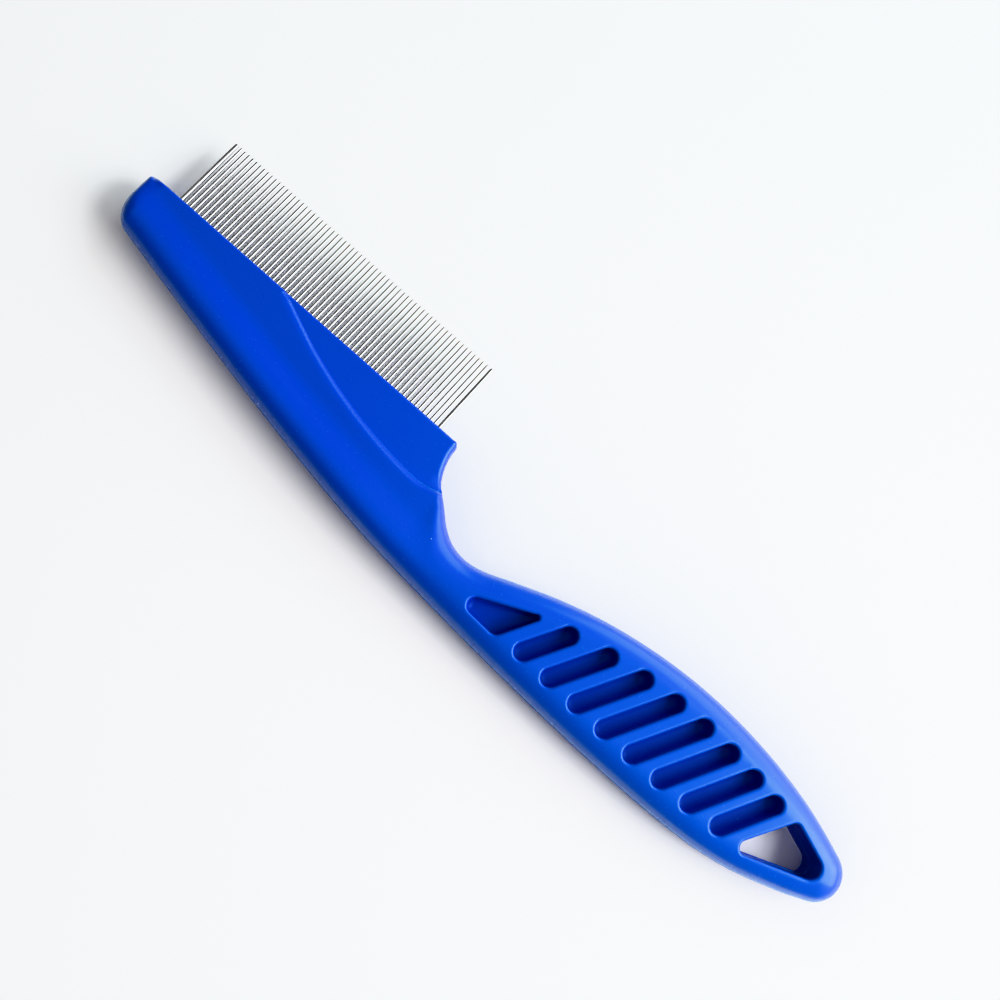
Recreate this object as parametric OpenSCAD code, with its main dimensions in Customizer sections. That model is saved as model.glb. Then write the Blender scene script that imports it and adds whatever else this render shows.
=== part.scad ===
// Fine-toothed pet comb with a slotted handle.  Two moulded shells close on a carrier bar,
// and the bar holds a row of polished steel pins.
//
// Drawing frame: X runs along the row of pins, from the comb's tip to the end of its handle,
// with X = 0 at the pin nearest the tip.  Y points to the pins' free ends, and Y = 0 is the
// edge of the blade.  Z = 0 is the joint between the shells.
// place() moves the drawing to the part's own frame: the back rests on Z = 0, and the origin
// is under the middle of the comb's box.

/* [Pins] */
// Distance between neighbouring fine pins
pin_pitch = 0.95; // [0.92:0.01:1]
// Number of fine pins, held in pairs
fine_pin_count = 64; // [60:2:66]
// Diameter of a fine pin
pin_d = 0.6; // [0.5:0.01:0.65]
// Diameter of the stronger pin at each end of the row
end_pin_d = 0.88; // [0.7:0.01:1]
// Length of pin that stands out of the blade
pin_reach = 14.8; // [10:0.1:16]
// Length of pin that is held in the carrier bar
pin_hold = 5.5; // [4:0.1:6]
// Length of the tapered point of a pin
pin_point = 0.25; // [0.2:0.01:0.4]

/* [Blade and spine] */
// Thickness of the blade that the pins stand out of
blade_t = 3.8; // [3.6:0.1:4.2]
// Length of blade between the tip of the comb and the first pin
tip_over = 6.7; // [6.5:0.05:8]
// Length of blade between the last pin and the heel
heel_over = 4.9; // [4.5:0.1:5.5]
// Width of the bevel along the blade's edge
blade_bevel = 0.4; // [0.2:0.05:0.6]
// Height of the step between the blade and the spine, at the heel
ridge_step = 2.0; // [1.2:0.1:2.4]
// Thickness of the spine at the tip
tip_t = 7.2; // [6.6:0.1:8]
// Width of the rounded back of the spine
spine_round = 3.6; // [3:0.1:5]

/* [Handle] */
// Length of the handle from the heel to its end
handle_len = 100.8; // [100.8:0.1:104]
// Thickness of the handle
handle_t = 9.5; // [9:0.1:10.5]
// Thickness of the handle at its end
end_t = 8.6; // [8.2:0.1:9]
// Width of the rounded sides of the handle
side_round = 5.0; // [3.5:0.1:5]

/* [Slots] */
// Number of slanted slots in each face of the handle
slot_count = 8; // [6:1:8]
// Distance between neighbouring slots
slot_pitch = 6.37; // [6.1:0.01:6.4]
// Width of a slot
slot_w = 3.4; // [3:0.1:3.6]
// Angle between a slot and the row of pins
slot_angle = 60; // [58:1:63]
// Depth of a slot below the handle's face
slot_depth = 3.9; // [3:0.1:4]

/* [Joint between the shells] */
// Diameter of a locating peg
peg_d = 2.0; // [1.6:0.1:2.2]
// Height of a locating peg
peg_h = 2.0; // [1.5:0.1:2.2]
// Gap all round a peg in its socket
peg_gap = 0.05; // [0.03:0.01:0.1]
// Depth of the hollow in each half of the spine
hollow_h = 1.7; // [1:0.1:1.8]
// Thickness of the carrier bar
bar_t = 1.8; // [1.6:0.1:2]
// Width of the carrier bar, across the blade
bar_w = 6.4; // [6.2:0.1:7]
// Distance that the carrier bar sits back from the blade's edge
bar_inset = 0.1; // [0:0.05:0.3]

/* [Hidden] */
$fn = 48;
PLASTIC = [0.02, 0.19, 0.74];
BAR_PLASTIC = [0.04, 0.25, 0.80];
STEEL = [0.78, 0.79, 0.80];

// An end pin stands further off, so that the gap beside it is the same as between fine pins
end_spacing = pin_pitch - pin_d / 2 + end_pin_d / 2;
row_len = (fine_pin_count - 1) * pin_pitch + 2 * end_spacing;
tip_x = -tip_over;
heel_x = row_len + heel_over;
end_x = heel_x + handle_len;
blade_half = blade_t / 2;

// The corners of the blade: at the tip, a long sweep [x, y] below the tip, and at the heel
corner_r = 0.8;
tip_sweep = [3.3, 5.0];
heel_r = 1.0;
// Width of the bevel along the heel's edge
heel_bevel = 1.0;
// Share of the height that stands upright along the back
edge_flank = 0.12;
// The round end of the handle, and the place where the sides run into it
end_r = 5.25;
end_c = [end_x - end_r, -15.15];
join_x = end_c.x + end_r / 3;
join_w = sqrt(pow(end_r, 2) - pow(end_r / 3, 2));

// The back of the comb, from the tip to the round end
BACK = [[heel_x - 70.8, -10.7], [heel_x - 50.8, -14.85], [heel_x - 26.8, -19.5],
        [heel_x - 2.8, -23.15], [heel_x + 21.2, -25.1], [heel_x + 41.2, -26.15],
        [heel_x + 57.2, -26.5], [heel_x + 73.2, -26.15], [heel_x + 83.2, -24.75],
        [heel_x + 93.0, -21.8], [join_x, end_c.y - join_w]];
// The front of the handle, from the foot of the heel past the waist to the round end
FRONT = [[heel_x + 3.7, -8.75], [heel_x + 5.2, -9.95], [heel_x + 8.2, -12.55],
         [heel_x + 11.0, -14.1], [heel_x + 14.2, -14.65], [heel_x + 17.8, -14.05],
         [heel_x + 23.2, -11.9], [heel_x + 31.2, -8.85], [heel_x + 39.2, -6.5],
         [heel_x + 47.2, -4.9], [heel_x + 55.2, -3.95], [heel_x + 63.2, -3.68],
         [heel_x + 71.2, -4.08], [heel_x + 79.2, -5.1], [heel_x + 87.2, -6.8],
         [heel_x + 93.0, -8.6], [join_x, end_c.y + join_w]];
// The heel, from the blade's corner down to the handle
HEEL = [[heel_x, -1.0], [heel_x + 0.15, -2.6], [heel_x + 0.95, -5.1],
        [heel_x + 2.2, -7.3], [heel_x + 3.7, -8.75]];
// The foot of the step that rises from the blade to the spine
RIDGE = [[heel_x - 41.4, 0], [heel_x - 36.8, -1.9], [heel_x - 30.8, -4.3],
         [heel_x - 24.8, -6.2], [heel_x - 18.8, -7.7], [heel_x - 12.8, -8.8],
         [heel_x - 6.8, -9.55], [heel_x - 0.8, -9.8], [heel_x + 3.7, -8.75]];
// The heel's knots turned on their side, which gives its edge as x(y)
HEEL_SIDEWAYS = [for (i = [len(HEEL) - 1:-1:0]) [HEEL[i].y, HEEL[i].x]];
ridge_x = RIDGE[0].x;
waist_x = heel_x + 14.2;

// Distances from the comb's back between which the spine rises to its crest
rise_far = 9.5;
rise_near = 3.5;
// The crest has the handle's full thickness from this place on
crest_x = waist_x - 8;
// Smallest height of the step, where it leaves the blade's edge, width of its slope, and the
// length over which it reaches its full height
step_min = 0.6;
step_w = 2.0;
step_run = 52;
// The step runs out into the front of the handle from merge_x, over these lengths: its height,
// the upright part of its side, and the width of its rounding
merge_x = heel_x + 3;
merge_height = 9;
merge_flank = 8;
merge_round = 8;
// Height that stands upright along the step, less than the blade's, and along the handle
step_flank = blade_half - 0.2;
front_flank = 0.5;
// Length behind the heel over which the spine's rounding becomes the handle's
back_merge = 20;
// Distances from the handle's end between which it thins to end_t
thin_far = 22;
thin_near = 2;
// Width of the rounding at the tip
tip_round = 3.0;
// How far a cut runs past the surface that it opens
past = 1;

function mix(a, b, t) = a + (b - a) * t;
function ease(t) = let (u = max(0, min(1, t))) u * u * (3 - 2 * u);
// A quarter of an ellipse: 0 at an edge, and 1 from the distance r inwards
function rounding(d, r) = d >= r ? 1 : sqrt(1 - pow(1 - max(0, d) / r, 2));

// A smooth curve y(x) through knots in order of x
function knot_slope(k, i) =
    let (a = k[max(i - 1, 0)], b = k[min(i + 1, len(k) - 1)]) (b.y - a.y) / (b.x - a.x);
function span(k, x, i = 0) = i >= len(k) - 2 || x < k[i + 1].x ? i : span(k, x, i + 1);
function curve(k, x) =
    let (i = span(k, x), w = k[i + 1].x - k[i].x, t = (x - k[i].x) / w, u = 1 - t)
    k[i].y * (1 + 2 * t) * u * u + k[i + 1].y * (1 + 2 * u) * t * t
    + w * t * u * (knot_slope(k, i) * u - knot_slope(k, i + 1) * t);

function end_half_width(x) = sqrt(max(0, pow(end_r, 2) - pow(x - end_c.x, 2)));
// The comb's back
function back_y(x) =
    x >= join_x ? end_c.y - end_half_width(x)
    : curve(BACK, x) + tip_sweep.y * (1 - rounding(x - tip_x, tip_sweep.x));
// The outer edge along the front: the blade, its corners, the heel, the handle
function front_y(x) =
    x >= join_x ? end_c.y + end_half_width(x)
    : x >= FRONT[0].x ? curve(FRONT, x)
    : x >= heel_x ? curve(HEEL, x)
    : -corner_r * (1 - rounding(x - tip_x, corner_r)) - heel_r * (1 - rounding(heel_x - x, heel_r));
// The foot of the step, or the outer edge where there is no step
function foot_y(x) = x > ridge_x && x < FRONT[0].x ? min(curve(RIDGE, x), front_y(x)) : front_y(x);
// The heel's edge as x(y)
function heel_edge_x(y) = y > HEEL[0].y ? heel_x : curve(HEEL_SIDEWAYS, y);

// Cosine of an edge's slope, which turns a distance along Y into the distance from the edge
function slope_cos(dy) = 0.2 / norm([0.2, dy]);
function back_cos(x) = x > join_x ? 1 : slope_cos(curve(BACK, x + 0.1) - curve(BACK, x - 0.1));
function front_cos(x) =
    x > join_x || x < FRONT[0].x ? 1 : slope_cos(curve(FRONT, x + 0.1) - curve(FRONT, x - 0.1));

// Half the thickness before the outer edges are rounded.  It is the blade's at the step's
// foot, rises to a crest along the spine, and is level across the handle.
function crest_half(x) =
    x < waist_x ? mix(tip_t / 2, handle_t / 2, ease((x - tip_x) / (crest_x - tip_x)))
    : mix(handle_t / 2, end_t / 2, ease((x - end_x + thin_far) / (thin_far - thin_near)));
function step_half(x) =
    x < ridge_x ? blade_half + step_min
    : mix(blade_half + mix(step_min, ridge_step, ease((x - ridge_x) / step_run)),
          handle_t / 2, ease((x - merge_x) / merge_height));
function cap_half(x, y) =
    mix(step_half(x), max(step_half(x), crest_half(x)),
        ease((rise_far - (y - back_y(x))) / (rise_far - rise_near)));

// Width of the rounding along the front, and the height that stands upright there
function front_round(x) =
    x < ridge_x ? blade_bevel : mix(step_w, side_round, ease((x - merge_x) / merge_round));
function flank_z(x) =
    x < ridge_x ? step_half(x) - blade_bevel
    : mix(step_flank, front_flank, ease((x - merge_x) / merge_flank));
function back_round(x) = mix(spine_round, side_round, ease((x - heel_x) / back_merge));

// Height of a shell's outer surface above the joint: first on the blade, then elsewhere
function blade_z(x, y) =
    mix(blade_half - blade_bevel, blade_half, rounding(front_y(x) - y, blade_bevel))
    - heel_bevel * (1 - rounding(heel_edge_x(y) - x, heel_bevel));
function surface_z(x, y) =
    y > foot_y(x) + 0.001 ? blade_z(x, y) * tip_share(x)
    : let (near_end = x > end_c.x && abs(y - end_c.y) < (x - end_c.x) * sqrt(8))
    let (end_d = end_r - norm([x - end_c.x, y - end_c.y]))
    let (front_d = near_end ? end_d : (foot_y(x) - y) * front_cos(x))
    let (back_d = near_end ? side_round : (y - back_y(x)) * back_cos(x))
    mix(flank_z(x), cap_half(x, y), rounding(front_d, front_round(x)))
    * min(tip_share(x), mix(edge_flank, 1, rounding(back_d, back_round(x))));
function tip_share(x) = mix(edge_flank, 1, rounding(x - tip_x, tip_round));

// Places of the sections along X, closer together where the outline turns
STATIONS = concat(
    [for (a = [0:10:90]) tip_x + tip_sweep.x * (1 - cos(a))],
    [for (i = [1:12]) mix(tip_x + tip_sweep.x, ridge_x, i / 12)],
    [ridge_x + 0.3],
    [for (i = [1:17]) mix(ridge_x, heel_x - 1.3, i / 17)],
    [for (d = [1, 0.75, 0.5, 0.25, 0.06, 0, -0.08, -0.2, -0.45, -0.9, -1.5, -2.2, -3]) heel_x - d],
    [for (i = [0:10]) mix(FRONT[0].x, waist_x, i / 10)],
    [for (i = [1:34]) mix(waist_x, end_c.x, i / 34)],
    [for (a = [10:10:80]) end_c.x + end_r * sin(a)], [end_x - 0.02]);
// Shares of an edge's rounding at which its points stand, from the edge inwards
ROUND_STEPS = [0, 0.04, 0.16, 0.36, 0.64];
// Shares of the way across the level stretch between the roundings
LEVEL_STEPS = [0, 0.17, 0.34, 0.5, 0.67, 0.84, 1];

// The closed outline of one section, from the front edge over the outer surface to the back
function section(x) =
    let (f = front_y(x), r = foot_y(x), b = back_y(x), w = r - b, blade_w = f - r)
    let (fr = min(front_round(x) / front_cos(x), 0.45 * w))
    let (br = min(back_round(x) / back_cos(x), 0.45 * w))
    let (extra = blade_w > 2 ? [0, 0.1, 0.3, 0.6, 1, blade_w / 2, blade_w - 0.002]
                 : [for (i = [0:6]) (blade_w + 0.02 * fr) * i / 7])
    let (ys = concat([for (e = extra) f - e],
                     [for (s = ROUND_STEPS) r - fr * (0.02 + 0.98 * s)],
                     [for (s = LEVEL_STEPS) mix(r - fr, b + br, s)],
                     [for (i = [len(ROUND_STEPS) - 1:-1:0]) b + br * ROUND_STEPS[i]]))
    concat([[x, f, 0]], [for (y = ys) [x, y, surface_z(x, y)]], [[x, b, 0]]);

// One shell before it is hollowed: its sections joined into a closed solid
module shell_body() {
    rows = [for (x = STATIONS) section(x)];
    n = len(rows[0]);
    last = (len(rows) - 1) * n;
    polyhedron(
        points = [for (r = rows) each r],
        faces = concat(
            [for (i = [0:len(rows) - 2], j = [0:n - 1])
                let (a = i * n + j, b = i * n + (j + 1) % n) each [[a, b + n, b], [a, a + n, b + n]]],
            [[for (j = [0:n - 1]) j]],
            [[for (j = [n - 1:-1:0]) last + j]]));
}

// A shape with rounded corners from its corner circles [x, y, r], listed anticlockwise
ARC_STEP = 15;
module rounded_shape(circles) {
    n = len(circles);
    // Direction in which the side from circle i to the next one faces
    function facing(i) =
        let (p = circles[i % n], q = circles[(i + 1) % n], d = [q.x - p.x, q.y - p.y])
        atan2(d.y, d.x) - acos((p.z - q.z) / norm(d));
    polygon([for (i = [0:n - 1])
        let (c = circles[i], a = facing(i + n - 1), turn = (facing(i) - a + 720) % 360)
        let (steps = ceil(turn / ARC_STEP))
        for (k = [0:steps]) [c.x + c.z * cos(a + turn * k / steps), c.y + c.z * sin(a + turn * k / steps)]]);
}

// Corner circles of the pockets: the first slot starts slot_x behind the heel
slot_x = heel_x + 32.2;
POCKET = [[heel_x + 20.9, -19.85, 1.55], [heel_x + 25.8, -20, 1.65], [heel_x + 30.1, -14.5, 0.6]];
HANGING_HOLE = [[heel_x + 82.8, -20.1, 1.3], [heel_x + 93.1, -15.5, 2.15], [heel_x + 87.4, -12.2, 1.05]];
slot_to_back = 5.4;
slot_to_front = 5.9;
function slot_circles(i) =
    let (x = slot_x + i * slot_pitch, low = [x, back_y(x) + slot_to_back], t = tan(slot_angle))
    let (x1 = low.x + (front_y(low.x + 6) - slot_to_front - low.y) / t)
    let (x2 = low.x + (front_y(x1) - slot_to_front - low.y) / t)
    let (x3 = low.x + (front_y(x2) - slot_to_front - low.y) / t)
    [[low.x, low.y, slot_w / 2], [x3, low.y + (x3 - low.x) * t, slot_w / 2]];

module pockets() {
    translate([0, 0, handle_t / 2 - slot_depth]) linear_extrude(slot_depth + past) {
        rounded_shape(POCKET);
        for (i = [0:slot_count - 1]) rounded_shape(slot_circles(i));
    }
}

module hanging_hole() {
    translate([0, 0, -past]) linear_extrude(handle_t + 2 * past) rounded_shape(HANGING_HOLE);
}

// Centres of the locating pegs
PEGS = [[tip_x + 2.9, -5.2], [heel_x - 40, -13.6], [heel_x - 14, -16.6], [heel_x + 9, -19.4],
        [heel_x + 33.2, -11.7], [heel_x + 97.6, end_c.y]];
boss_d = peg_d + 2.4;
// Room above a peg in its socket, and the length of a peg that is sunk in its own shell
peg_room = 0.2;
peg_root = 1;

// The hollow in the spine, with a boss left standing around each peg
HOLLOW_ENDS = [heel_x - 56, heel_x + 15];
hollow_wall = 3.2;
hollow_top = -bar_w - 2.2;
hollow_steps = 14;
module hollow() {
    xs = [for (i = [0:hollow_steps]) mix(HOLLOW_ENDS[0], HOLLOW_ENDS[1], i / hollow_steps)];
    difference() {
        translate([0, 0, -past]) linear_extrude(hollow_h + past)
            polygon(concat(
                [for (x = xs) [x, back_y(x) + hollow_wall]],
                [for (i = [hollow_steps:-1:0])
                    [xs[i], min(hollow_top, front_y(xs[i]) - hollow_wall)]]));
        for (p = PEGS) translate([p.x, p.y, -2 * past]) cylinder(d = boss_d, h = hollow_h + 3 * past);
    }
}

// Ends of the carrier bar
bar_over = 1.6;
BAR_ENDS = [-bar_over, row_len + bar_over];
bar_depth = bar_w + bar_inset;
module bar_seat() {
    translate([BAR_ENDS[0], -bar_depth, -past])
        cube([BAR_ENDS[1] - BAR_ENDS[0], bar_depth + past, bar_t / 2 + past]);
}

// One shell, lying with its joint face down
module shell() {
    difference() {
        shell_body();
        pockets();
        hanging_hole();
        hollow();
        bar_seat();
    }
}

// The part's own frame
lowest_y = min([for (x = STATIONS) back_y(x)]);
middle = [(tip_x + STATIONS[len(STATIONS) - 1]) / 2, (lowest_y + pin_reach) / 2];
module place() {
    translate([-middle.x, -middle.y, handle_t / 2]) children();
}

// The shell with the sockets
module front_shell() {
    color(PLASTIC) place() difference() {
        shell();
        for (p = PEGS) translate([p.x, p.y, -past])
            cylinder(d = peg_d + 2 * peg_gap, h = peg_h + peg_room + past);
    }
}

// The shell with the pegs: the front shell's mirror image, turned face down
module back_shell() {
    color(PLASTIC) place() union() {
        mirror([0, 0, 1]) shell();
        for (p = PEGS) translate([p.x, p.y, -peg_root]) cylinder(d = peg_d, h = peg_h + peg_root);
    }
}

// The bar that holds every pin at its pitch
function pin_x(i) = end_spacing + (i - 1) * pin_pitch;
module pin_bar() {
    color(BAR_PLASTIC) place() difference() {
        translate([BAR_ENDS[0], -bar_depth, -bar_t / 2])
            cube([BAR_ENDS[1] - BAR_ENDS[0], bar_w, bar_t]);
        for (i = [1:fine_pin_count]) pin_bore(pin_x(i), pin_d);
        for (x = [0, row_len]) pin_bore(x, end_pin_d);
    }
}
module pin_bore(x, d) {
    translate([x, -bar_inset - pin_hold, 0]) rotate([-90, 0, 0]) cylinder(d = d, h = pin_hold + past);
}

// A pin, pressed into the bar, with a tapered point that ends at this share of its diameter
point_share = 0.4;
module pin(x, d) {
    color(STEEL) place() translate([x, -bar_inset - pin_hold, 0]) rotate([-90, 0, 0]) {
        shank = pin_hold + bar_inset + pin_reach - pin_point;
        cylinder(d = d, h = shank);
        translate([0, 0, shank]) cylinder(d1 = d, d2 = point_share * d, h = pin_point);
    }
}
module end_pin_tip() {
    pin(0, end_pin_d);
}
module end_pin_heel() {
    pin(row_len, end_pin_d);
}
// Two neighbouring fine pins: pair 1 is nearest the tip
module pin_pair(k) {
    for (i = [2 * k - 1, 2 * k]) pin(pin_x(i), pin_d);
}

function pair_name(k) = str("pin_pair_", k < 10 ? "0" : "", k);
PAIRS = [1:fine_pin_count / 2];

front_shell();
back_shell();
pin_bar();
end_pin_tip();
end_pin_heel();
for (k = PAIRS) pin_pair(k);
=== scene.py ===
"""Looks of a fine-toothed pet comb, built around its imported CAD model.

Lengths are in millimetres in the comb's drawing frame until to_row() turns them into metres in
the row frame.  Drawing frame: X runs along the row of pins from the comb's tip to the end of its
handle, with X = 0 at the pin nearest the tip; Y = 0 is the blade's edge and Y points to the
pins' free ends; Z = 0 is the joint between the two shells.
"""

import math

import bmesh
import bpy
import numpy as np
from mathutils import Matrix, Vector
from mathutils.geometry import delaunay_2d_cdt


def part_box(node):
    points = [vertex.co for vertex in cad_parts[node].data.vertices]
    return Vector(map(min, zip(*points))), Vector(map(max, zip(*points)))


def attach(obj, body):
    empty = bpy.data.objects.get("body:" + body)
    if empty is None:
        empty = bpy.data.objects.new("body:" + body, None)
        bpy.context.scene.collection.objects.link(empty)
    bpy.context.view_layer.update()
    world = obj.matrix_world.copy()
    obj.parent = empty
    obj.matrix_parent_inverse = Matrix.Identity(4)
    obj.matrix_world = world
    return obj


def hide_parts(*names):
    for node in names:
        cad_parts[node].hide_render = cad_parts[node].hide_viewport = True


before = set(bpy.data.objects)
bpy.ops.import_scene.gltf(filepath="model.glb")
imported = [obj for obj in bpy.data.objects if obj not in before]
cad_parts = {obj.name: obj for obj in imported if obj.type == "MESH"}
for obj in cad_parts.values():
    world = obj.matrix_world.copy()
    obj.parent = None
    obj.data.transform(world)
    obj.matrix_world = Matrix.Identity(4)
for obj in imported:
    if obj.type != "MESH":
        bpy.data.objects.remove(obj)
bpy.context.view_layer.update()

MM = 0.001
TINY = 1e-6


# ---------------------------------------------------------------- sizes, from the frame

def box_mm(node):
    """A node's lowest and highest corner in the row frame, in millimetres."""
    low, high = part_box(node)
    return np.array(low) / MM, np.array(high) / MM


SHELL_LOW, SHELL_HIGH = box_mm("front_shell")
TIP_PIN_LOW, TIP_PIN_HIGH = box_mm("end_pin_tip")
HEEL_PIN_LOW, HEEL_PIN_HIGH = box_mm("end_pin_heel")
BAR_LOW, BAR_HIGH = box_mm("pin_bar")

# The drawing's origin in the row frame
ORIGIN = np.array([(TIP_PIN_LOW[0] + TIP_PIN_HIGH[0]) / 2, SHELL_HIGH[1], SHELL_LOW[2]])
# The CAD's last section stands this far short of the round end
END_SHORT = 0.02
HEEL_OVER = 4.9
TIP_X = SHELL_LOW[0] - ORIGIN[0]
END_X = SHELL_HIGH[0] - ORIGIN[0] + END_SHORT
ROW_LEN = (HEEL_PIN_LOW[0] + HEEL_PIN_HIGH[0]) / 2 - ORIGIN[0]
HEEL_X = ROW_LEN + HEEL_OVER
SEAT_LOW, SEAT_HIGH = BAR_LOW - ORIGIN, BAR_HIGH - ORIGIN

# Half the thickness of each part, and the height of a pocket's floor above the joint
BLADE_HALF = 1.9
TIP_HALF = 3.6
END_HALF = 4.3
HANDLE_HALF = SHELL_HIGH[2] - SHELL_LOW[2]
SLOT_DEPTH = 3.9
FLOOR_Z = HANDLE_HALF - SLOT_DEPTH

# How far in from an edge each rounding reaches, and how much of the thickness an edge keeps
SIDE_ROUND = 5.0
SPINE_ROUND = 3.6
BLADE_BEVEL = 0.6
HEEL_BEVEL = 1.0
EDGE_FLANK = 0.12
# The heel's bevel begins to fade out this far past the heel, and fades over this length
HEEL_BEVEL_END, HEEL_BEVEL_FADE = 2.2, 1.5

# The outline's corners, and its round end, which meets the back and the front at JOIN_X
CORNER_R = 0.8
TIP_SWEEP = (3.3, 5.0)
HEEL_R = 1.0
END_R = 5.25
END_C = np.array([END_X - END_R, -15.15])
JOIN_X = END_C[0] + END_R / 3
JOIN_W = math.sqrt(END_R ** 2 - (END_R / 3) ** 2)

# Knots (x, y) of the outline, x from the heel
BACK = np.array([(-70.8, -10.7), (-50.8, -14.85), (-26.8, -19.5), (-2.8, -23.15), (21.2, -25.1),
                 (41.2, -26.15), (57.2, -26.5), (73.2, -26.15), (83.2, -24.75), (93.0, -21.8),
                 (JOIN_X - HEEL_X, END_C[1] - JOIN_W)]) + (HEEL_X, 0)
FRONT = np.array([(3.7, -8.75), (5.2, -9.95), (8.2, -12.55), (11.0, -14.1), (14.2, -14.65),
                  (17.8, -14.05), (23.2, -11.9), (31.2, -8.85), (39.2, -6.5), (47.2, -4.9),
                  (55.2, -3.95), (63.2, -3.68), (71.2, -4.08), (79.2, -5.1), (87.2, -6.8),
                  (93.0, -8.6), (JOIN_X - HEEL_X, END_C[1] + JOIN_W)]) + (HEEL_X, 0)
HEEL = np.array([(0, -1.0), (0.15, -2.6), (0.95, -5.1), (2.2, -7.3), (3.7, -8.75)]) + (HEEL_X, 0)
RIDGE = np.array([(-41.4, 0), (-36.8, -1.9), (-30.8, -4.3), (-24.8, -6.2), (-18.8, -7.7),
                  (-12.8, -8.8), (-6.8, -9.55), (-0.8, -9.8), (3.7, -8.75)]) + (HEEL_X, 0)
RIDGE_X = RIDGE[0, 0]
WAIST_X = HEEL_X + 14.2

# The crest rises from the tip's thickness to the handle's at CREST_X, and thins before the end
CREST_X = WAIST_X - 8
THIN_FAR, THIN_NEAR = 22, 2
# Across the comb, the crest begins and is full at these distances from the back
RISE_FAR, RISE_NEAR = 9.5, 3.5

# The step grows in height over STEP_RUN, and is rounded over STEP_W
STEP_MIN, STEP_MAX, STEP_W = 0.6, 2.0, 1.5
STEP_RUN = 52
STEP_FLANK = BLADE_HALF - 0.2
FRONT_FLANK = 0.5
# It runs out into the front of the handle from MERGE_X, over these lengths
MERGE_X = HEEL_X + 3
MERGE_HEIGHT, MERGE_FLANK, MERGE_ROUND = 9, 8, 8
BACK_MERGE = 20
# The blade fades out over BLADE_FADE, and meets the step's foot in a small fillet
BLADE_FADE = 2.5
FOOT_REACH, FOOT_FILLET = 1.2, 0.25

# Corner circles (x, y, r) of the pocket and the hanging hole, x from the heel, anticlockwise
POCKET = [(20.9, -19.85, 1.55), (25.8, -20, 1.65), (30.1, -14.5, 0.6)]
HANGING_HOLE = [(82.8, -20.1, 1.3), (93.1, -15.5, 2.15), (87.4, -12.2, 1.05)]
SLOT_X, SLOT_PITCH, SLOT_W, SLOT_ANGLE, SLOT_COUNT = 32.2, 6.37, 3.4, 60, 8
SLOT_TO_BACK, SLOT_TO_FRONT = 5.4, 5.9

# Distances between points along each line
BACK_SPACING, FRONT_SPACING, RIDGE_SPACING, OUTLINE_SPACING = 0.5, 0.4, 0.3, 0.27
RING_PER_TURN, RING_SPACING = 96, 0.35


# ---------------------------------------------------------------- curves and distances

def rounding(d, r):
    """A quarter of an ellipse: 0 at an edge, and 1 from the distance r inwards."""
    t = np.clip(np.asarray(d, float) / r, 0, 1)
    return np.sqrt(1 - (1 - t) ** 2)


def ease(t):
    """A smooth rise from 0 to 1."""
    t = np.clip(t, 0, 1)
    return t * t * (3 - 2 * t)


def mix(a, b, t):
    """From a at t = 0 to b at t = 1."""
    return a + (b - a) * t


def curve(knots, x):
    """A smooth curve y(x) through knots in order of x."""
    x = np.asarray(x, float)
    kx, ky = knots[:, 0], knots[:, 1]
    last = len(kx) - 1
    before = np.maximum(np.arange(last + 1) - 1, 0)
    after = np.minimum(np.arange(last + 1) + 1, last)
    slope = (ky[after] - ky[before]) / (kx[after] - kx[before])
    i = np.clip(np.searchsorted(kx, x, side="right") - 1, 0, last - 1)
    w = kx[i + 1] - kx[i]
    t = (x - kx[i]) / w
    u = 1 - t
    return (ky[i] * (1 + 2 * t) * u * u + ky[i + 1] * (1 + 2 * u) * t * t
            + w * t * u * (slope[i] * u - slope[i + 1] * t))


def back_y(x):
    """The outline's lower side: the back, swept up at the tip, and then the round end."""
    line = curve(BACK, x) + TIP_SWEEP[1] * (1 - rounding(x - TIP_X, TIP_SWEEP[0]))
    end = END_C[1] - np.sqrt(np.maximum(0, END_R ** 2 - (x - END_C[0]) ** 2))
    return np.where(x >= JOIN_X, end, line)


def foot_y(x):
    """The step's foot, or the blade's edge before the step begins, or the handle's front."""
    return np.where(x >= FRONT[0, 0], curve(FRONT, x), np.where(x >= RIDGE_X, curve(RIDGE, x), 0.0))


def resample(points, spacing, closed=False):
    """Points along a polyline at even distances."""
    p = np.asarray(points, float)
    if closed:
        p = np.vstack([p, p[:1]])
    at = np.concatenate([[0], np.cumsum(np.linalg.norm(np.diff(p, axis=0), axis=1))])
    n = max(2, int(round(at[-1] / spacing)))
    s = np.linspace(0, at[-1], n + 1)[:-1] if closed else np.linspace(0, at[-1], n + 1)
    return np.column_stack([np.interp(s, at, p[:, k]) for k in (0, 1)])


def line_distance(points, line, closed=False):
    """Distance from each point to a polyline."""
    a = np.asarray(line, float)
    b = np.roll(a, -1, axis=0) if closed else a[1:]
    a = a if closed else a[:-1]
    d = b - a
    length2 = np.maximum((d ** 2).sum(1), TINY ** 2)
    out = np.empty(len(points))
    batch = 4000
    for i in range(0, len(points), batch):
        p = points[i:i + batch, None, :]
        t = np.clip(((p - a) * d).sum(2) / length2, 0, 1)
        out[i:i + batch] = np.sqrt((((p - a) - t[..., None] * d) ** 2).sum(2).min(1))
    return out


def inside(points, loop):
    """True for the points inside a closed loop."""
    hit = np.zeros(len(points), bool)
    x, y = points[:, 0], points[:, 1]
    for (x1, y1), (x2, y2) in zip(loop, np.roll(loop, -1, axis=0)):
        if y1 != y2:
            hit ^= ((y1 > y) != (y2 > y)) & (x < (x2 - x1) * (y - y1) / (y2 - y1) + x1)
    return hit


def inward(loop):
    """Unit normals pointing into an anticlockwise loop."""
    t = np.roll(loop, -1, axis=0) - np.roll(loop, 1, axis=0)
    n = np.column_stack([-t[:, 1], t[:, 0]])
    return n / np.linalg.norm(n, axis=1)[:, None]


# ---------------------------------------------------------------- outlines

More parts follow.
